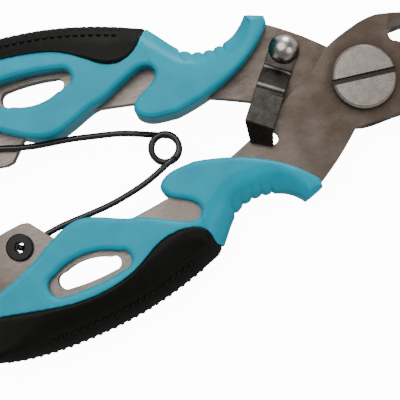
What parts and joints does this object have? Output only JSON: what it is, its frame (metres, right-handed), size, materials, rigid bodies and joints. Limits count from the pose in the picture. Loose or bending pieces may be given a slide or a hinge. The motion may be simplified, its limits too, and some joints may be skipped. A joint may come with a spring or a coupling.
{
  "type": "fishing pliers",
  "caption": "Curved-jaw fishing pliers with crossed steel plates, overmoulded hard and soft grips, a torsion return spring and a swinging latch that holds the handles shut.",
  "frame": {"origin": "on the pivot axis, on the plane the tool lies on, at the back face of the pivot nut", "axes": "+X along the tool towards the jaws, +Y towards the upper handle, +Z out through the front face"},
  "size_m": [0.1356, 0.0606, 0.0112],
  "materials": {
    "plate_steel": "stamped and tumbled stainless steel plate, brown-grey",
    "bright_steel": "turned steel, bright chamfers",
    "dark_steel": "blackened bent steel strip",
    "spring_steel": "black coated spring wire",
    "eyelet_black": "black coated ring",
    "grip_cyan": "hard plastic, satin",
    "pad_black": "soft rubbery overmould with a raised-dot band"
  },
  "bodies": {
    "front_half": {"front_plate": "plate_steel", "pivot_screw": "bright_steel", "pivot_nut": "bright_steel", "pivot_washer": "bright_steel", "return_spring": "spring_steel", "lower_spring_eyelet": "eyelet_black", "lower_grip_core": "grip_cyan", "lower_grip_pad": "pad_black"},
    "rear_half": {"rear_plate": "plate_steel", "latch_rivet": "bright_steel", "upper_spring_eyelet": "eyelet_black", "upper_grip_core": "grip_cyan", "upper_grip_pad": "pad_black"},
    "latch": {"latch_strip": "dark_steel"}
  },
  "joints": [
    {"name": "handles_open", "type": "hinge", "parent": "front_half", "child": "rear_half", "pos_m": [0, 0, 0.0056], "axis": [0, 0, -1], "range_deg": [0, 26], "deforming": ["return_spring"]},
    {"name": "latch_swing", "type": "hinge", "parent": "rear_half", "child": "latch", "pos_m": [-0.0121, 0.0103, 0.0061], "axis": [0, 0, -1], "range_deg": [0, 24]}
  ]
}
